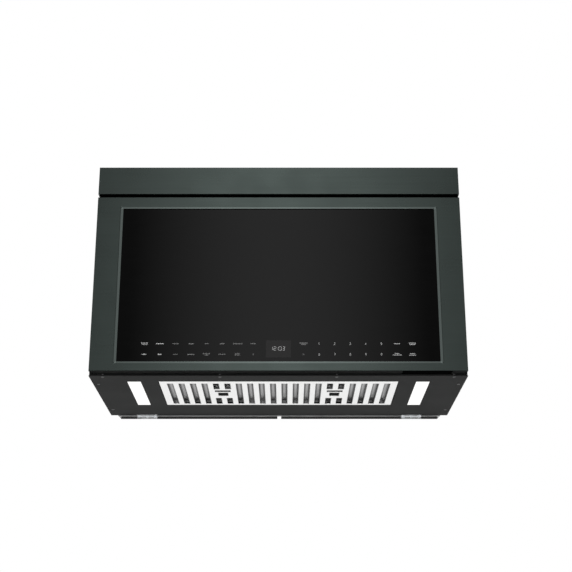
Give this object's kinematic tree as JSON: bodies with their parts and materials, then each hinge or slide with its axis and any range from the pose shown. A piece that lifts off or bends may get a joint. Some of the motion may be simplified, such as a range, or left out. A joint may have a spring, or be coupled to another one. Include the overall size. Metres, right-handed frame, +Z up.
{
  "type": "over the range microwave",
  "caption": "Over the range microwave with a full-width glass door, bottom controls, grease filter, lamps, vent blower and wall plate.",
  "frame": {"origin": "middle of the wall plate's rear face, level with the underside of the base panel", "axes": "+X to the right as seen from the front, +Y back towards the wall, +Z up; the front faces -Y"},
  "size_m": [0.759, 0.347, 0.493],
  "materials": {
    "green_metal": "satin metallic",
    "base_metal": "dark grey powder coat",
    "dark_metal": "black paint",
    "case_metal": "dark grey paint",
    "zinc": "zinc plated",
    "filter_metal": "pale coated",
    "baffle_metal": "plain",
    "steel": "plain",
    "cavity_enamel": "light grey enamel",
    "dark_glass": "polished",
    "clear_glass": "clear",
    "tray_glass": "clear",
    "lens": "white diffuser",
    "black_plastic": "black",
    "grey_plastic": "grey",
    "pale_plastic": "natural",
    "rubber": "black",
    "board_green": "circuit board",
    "carbon": "charcoal",
    "mica": "mica",
    "copper_red": "coil varnish"
  },
  "bodies": {
    "case": {"wall_plate": "case_metal", "support_tabs": "zinc", "outer_wrapper": "case_metal", "back_panel": "case_metal", "base_panel": "base_metal", "front_plate": "dark_metal", "top_fascia": "green_metal", "vent_grille": "black_plastic", "damper_frame": "zinc", "cable_grommet": "rubber", "charcoal_filter": "carbon", "blower_housing": "zinc", "vent_motor": "steel", "motor_bracket": "zinc", "cavity": "cavity_enamel", "waveguide": "zinc", "waveguide_cover": "mica", "turntable_motor": "grey_plastic", "magnetron": "steel", "inverter_board": "board_green", "inverter_heatsink": "filter_metal", "fan_housing": "grey_plastic", "fan_motor": "steel", "main_board": "board_green", "noise_filter": "copper_red", "cavity_lamp": "pale_plastic", "latch_board": "pale_plastic", "interlock_switches": "black_plastic", "wiring_leads": "copper_red", "led_lenses": "lens", "led_boards": "board_green", "hinge_plates": "dark_metal", "base_screws": "zinc", "case_screws": "zinc"},
    "vent_rotor": {"blower_wheels": "pale_plastic", "blower_shaft": "steel"},
    "cooling_rotor": {"fan_blades": "black_plastic"},
    "turntable": {"glass_tray": "tray_glass", "turntable_coupler": "pale_plastic"},
    "ring_body": {"roller_ring": "pale_plastic"},
    "roller_body_1": {"roller_1": "pale_plastic"},
    "roller_body_2": {"roller_2": "pale_plastic"},
    "roller_body_3": {"roller_3": "pale_plastic"},
    "grease_filter": {"filter_face": "filter_metal", "filter_baffles": "baffle_metal"},
    "latch_body_left": {"filter_latch_left": "dark_metal"},
    "latch_body_right": {"filter_latch_right": "dark_metal"},
    "damper": {"damper_flap": "zinc"},
    "lever_body": {"interlock_lever": "pale_plastic"},
    "door": {"door_frame": "green_metal", "door_glass": "dark_glass", "touch_board": "board_green", "door_choke": "steel", "door_screen": "dark_metal", "door_window": "clear_glass", "door_back_cover": "black_plastic", "door_base_trim": "black_plastic", "hinge_bushings": "pale_plastic", "latch_spring": "steel"},
    "door_latch": {"latch_slider": "pale_plastic"}
  },
  "joints": [
    {"name": "door_hinge", "type": "hinge", "parent": "case", "child": "door", "pos_m": [-0.371, -0.3195, 0.2], "axis": [0, 0, -1], "range_deg": [0, 100]},
    {"name": "door_latch_slide", "type": "slide", "parent": "door", "child": "door_latch", "axis": [0, 0, 1], "range_m": [0, 0.004], "stiffness_N_per_m": 400, "deforming": ["latch_spring"]},
    {"name": "turntable_spin", "type": "hinge", "parent": "case", "child": "turntable", "pos_m": [-0.06, -0.167, 0.112], "axis": [0, 0, 1], "continuous": true},
    {"name": "roller_ring_spin", "type": "hinge", "parent": "case", "child": "ring_body", "pos_m": [-0.06, -0.167, 0.104], "axis": [0, 0, 1], "continuous": true},
    {"name": "roller_spin_1", "type": "hinge", "parent": "ring_body", "child": "roller_body_1", "pos_m": [0.042, -0.167, 0.1042], "axis": [1, 0, 0], "continuous": true},
    {"name": "roller_spin_2", "type": "hinge", "parent": "ring_body", "child": "roller_body_2", "pos_m": [-0.111, -0.07866, 0.1042], "axis": [-0.5, 0.866, 0], "continuous": true},
    {"name": "roller_spin_3", "type": "hinge", "parent": "ring_body", "child": "roller_body_3", "pos_m": [-0.111, -0.25533, 0.1042], "axis": [-0.5, -0.866, 0], "continuous": true},
    {"name": "vent_rotor_spin", "type": "hinge", "parent": "case", "child": "vent_rotor", "pos_m": [0, -0.082, 0.4], "axis": [1, 0, 0], "continuous": true},
    {"name": "cooling_fan_spin", "type": "hinge", "parent": "case", "child": "cooling_rotor", "pos_m": [0.297, -0.065, 0.255], "axis": [0, 1, 0], "continuous": true},
    {"name": "grease_filter_tilt", "type": "hinge", "parent": "case", "child": "grease_filter", "pos_m": [0, -0.106, 0.005], "axis": [1, 0, 0], "range_deg": [0, 60]},
    {"name": "filter_latch_left_slide", "type": "slide", "parent": "grease_filter", "child": "latch_body_left", "axis": [0, 1, 0], "range_m": [0, 0.005], "stiffness_N_per_m": 300},
    {"name": "filter_latch_right_slide", "type": "slide", "parent": "grease_filter", "child": "latch_body_right", "axis": [0, 1, 0], "range_m": [0, 0.005], "stiffness_N_per_m": 300},
    {"name": "damper_swing", "type": "hinge", "parent": "case", "child": "damper", "pos_m": [0, -0.097, 0.4606], "axis": [1, 0, 0], "range_deg": [0, 70]},
    {"name": "interlock_lever_swing", "type": "hinge", "parent": "case", "child": "lever_body", "pos_m": [0.348, -0.287, 0.326], "axis": [1, 0, 0], "range_deg": [0, 8], "stiffness_Nm_per_rad": 0.05}
  ],
  "couplings": [
    {"joint": "roller_ring_spin", "follows": "turntable_spin", "ratio": 0.5},
    {"joint": "roller_spin_1", "follows": "turntable_spin", "ratio": -6.375},
    {"joint": "roller_spin_2", "follows": "turntable_spin", "ratio": -6.375},
    {"joint": "roller_spin_3", "follows": "turntable_spin", "ratio": -6.375}
  ]
}
